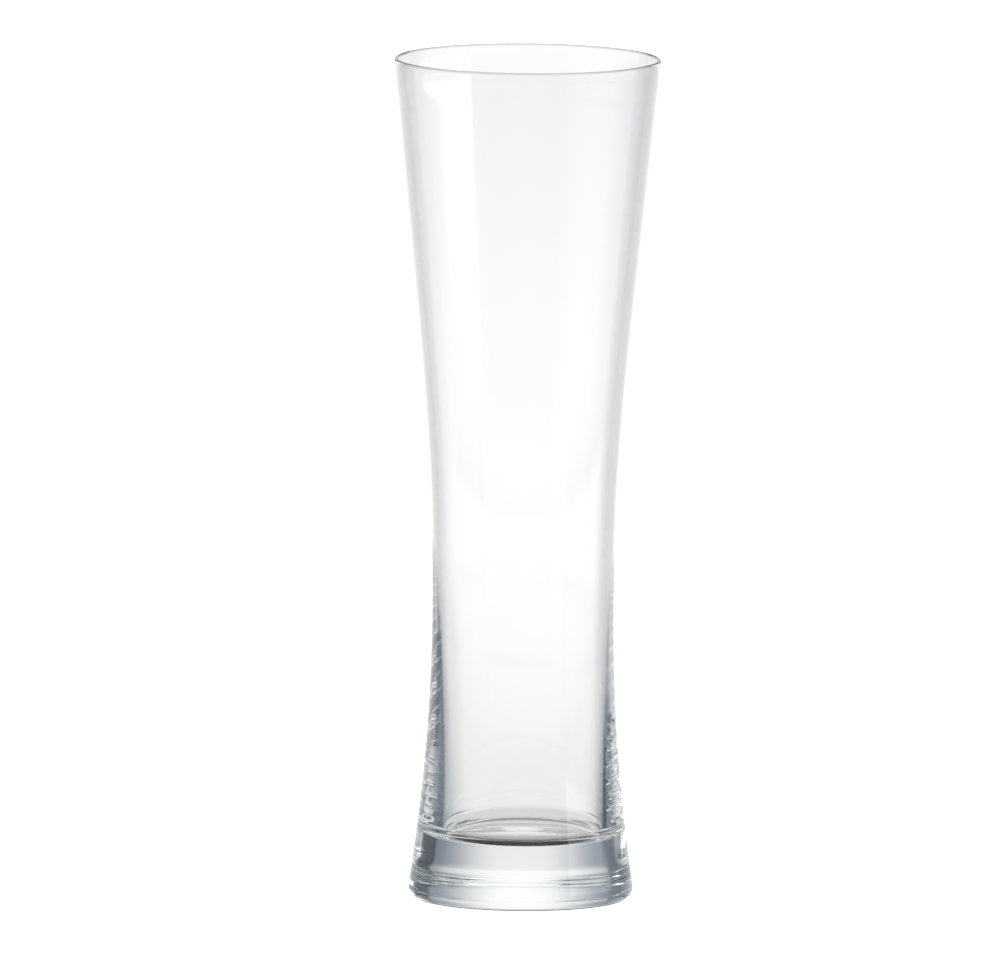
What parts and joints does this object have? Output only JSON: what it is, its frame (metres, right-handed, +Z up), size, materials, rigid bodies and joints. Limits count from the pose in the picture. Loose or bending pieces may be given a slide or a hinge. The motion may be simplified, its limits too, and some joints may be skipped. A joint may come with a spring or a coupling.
{
  "type": "beer glass",
  "caption": "Tall clear wheat beer glass with a long flared bowl, a drawn-in grip, a thick solid base and a rounded rim.",
  "frame": {"origin": "centre of the foot, in the plane that the glass stands on", "axes": "+Z up along the glass's axis from the foot to the rim, +X to the right and +Y away from the viewer in the picture"},
  "size_m": [0.0802, 0.0802, 0.254],
  "materials": {
    "glass": "clear, polished"
  },
  "bodies": {
    "root": {"heavy_base": "glass", "grip": "glass", "bowl": "glass", "rim": "glass"}
  },
  "joints": []
}
